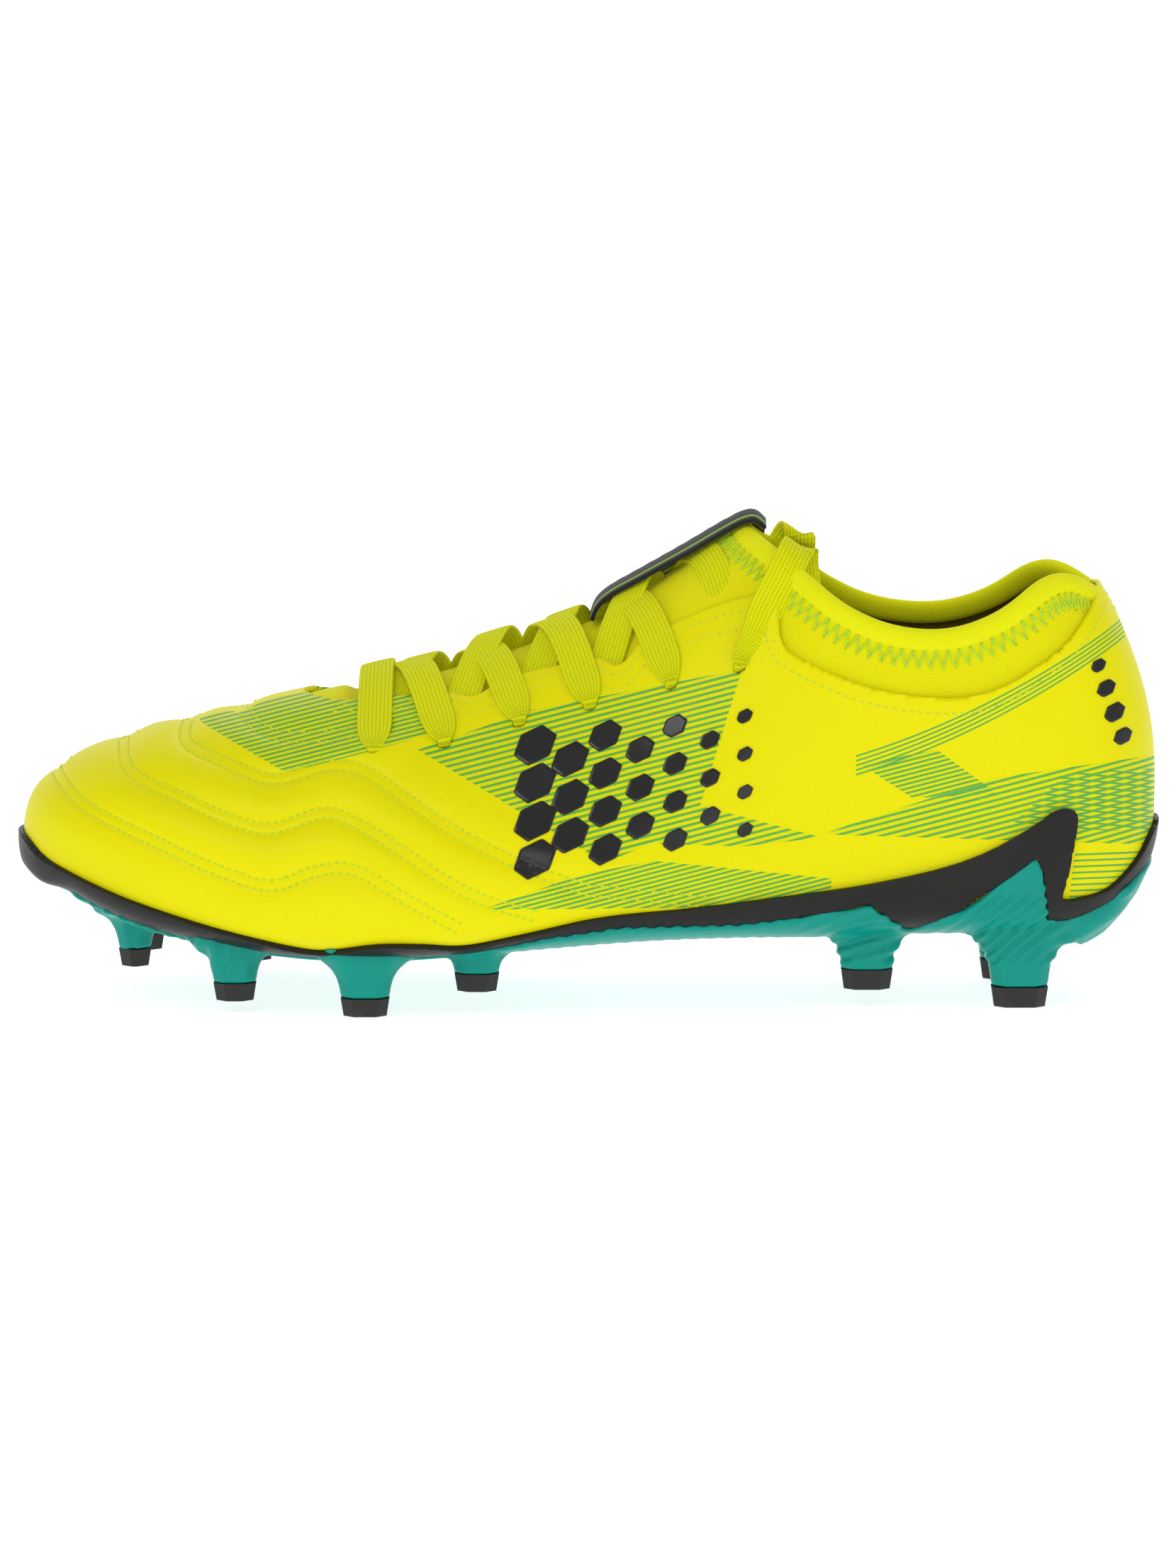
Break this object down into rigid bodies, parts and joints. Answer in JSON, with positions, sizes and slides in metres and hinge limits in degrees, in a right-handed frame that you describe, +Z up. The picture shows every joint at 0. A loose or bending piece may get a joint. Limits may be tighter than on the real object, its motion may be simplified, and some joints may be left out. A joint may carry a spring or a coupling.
{
  "type": "soccer cleat",
  "caption": "Low firm-ground football boot with a knit sock collar, a flat lace and moulded bladed studs.",
  "frame": {"origin": "centre of the boot's box in plan, at the level of the stud tips", "axes": "+X towards the heel, -Y towards the outer side of the left foot, +Z up"},
  "size_m": [0.2872, 0.0978, 0.1223],
  "materials": {
    "synthetic_yellow": "satin",
    "knit_yellow": "matte",
    "binding_yellow": "matte",
    "lace_yellow": "matte",
    "plate_teal": "satin",
    "black_shell": "gloss",
    "tip_black": "satin",
    "film_black": "gloss",
    "label_black": "matte",
    "lining": "matte",
    "footbed_foam": "matte",
    "board": "matte",
    "backing": "matte",
    "stiffener": "matte",
    "aglet_clear": "gloss"
  },
  "bodies": {
    "root": {"upper_shell": "synthetic_yellow", "knit_bootee": "knit_yellow", "foot_lining": "lining", "collar_binding": "binding_yellow", "toe_puff": "stiffener", "heel_counter": "stiffener", "eyestay_backing_lateral": "backing", "eyestay_backing_medial": "backing", "heel_lining": "lining", "insole_board": "board", "footbed": "footbed_foam", "outsole_sidewall": "black_shell", "outsole_plate": "plate_teal", "stud_tip_toe_lateral": "tip_black", "stud_tip_toe_medial": "tip_black", "stud_tip_front_lateral": "tip_black", "stud_tip_front_medial": "tip_black", "stud_tip_ball_lateral": "tip_black", "stud_tip_ball_medial": "tip_black", "stud_tip_waist_lateral": "tip_black", "stud_tip_waist_medial": "tip_black", "stud_tip_heel_front_lateral": "tip_black", "stud_tip_heel_front_medial": "tip_black", "stud_tip_heel_rear_lateral": "tip_black", "stud_tip_heel_rear_medial": "tip_black", "lace": "lace_yellow", "aglet_lateral": "aglet_clear", "aglet_medial": "aglet_clear", "tongue_label": "label_black", "side_mark_lateral": "film_black", "side_mark_medial": "film_black", "heel_mark_lateral": "film_black", "heel_mark_medial": "film_black"}
  },
  "joints": []
}
